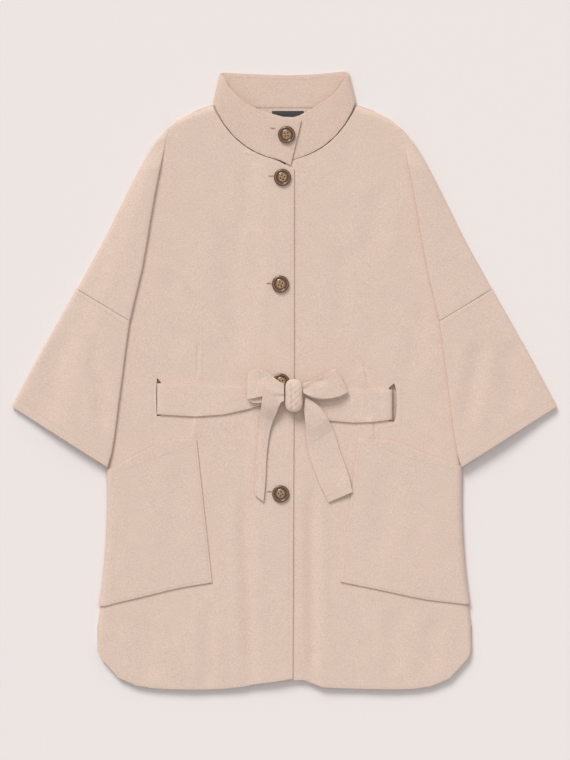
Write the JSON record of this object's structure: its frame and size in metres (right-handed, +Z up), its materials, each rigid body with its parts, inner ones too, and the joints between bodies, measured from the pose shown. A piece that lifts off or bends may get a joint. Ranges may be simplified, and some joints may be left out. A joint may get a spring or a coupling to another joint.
{
  "type": "belted wool coat, laid flat",
  "caption": "Belted cape-style wool coat laid flat, with bell sleeves, funnel collar, horn buttons, slanted patch pockets and a tied bow belt.",
  "frame": {"origin": "on the surface under the middle of the coat's box", "axes": "+X to the wearer's left, +Y from the hem to the collar, +Z up from the surface the coat lies on"},
  "size_m": [0.806, 0.9137, 0.0319],
  "materials": {
    "wool": "matte",
    "horn": "gloss",
    "label_cloth": "satin"
  },
  "bodies": {
    "root": {"back": "wool", "front_right": "wool", "front_left": "wool", "sleeve_right": "wool", "sleeve_left": "wool", "collar": "wool", "pocket_right": "wool", "pocket_left": "wool", "belt_right": "wool", "belt_left": "wool", "belt_inside": "wool", "belt_knot": "wool", "bow_loop_right": "wool", "bow_loop_left": "wool", "belt_tail_right": "wool", "belt_tail_left": "wool", "button_collar": "horn", "button_neck": "horn", "button_chest": "horn", "button_waist": "horn", "button_lower": "horn", "label": "label_cloth"}
  },
  "joints": []
}
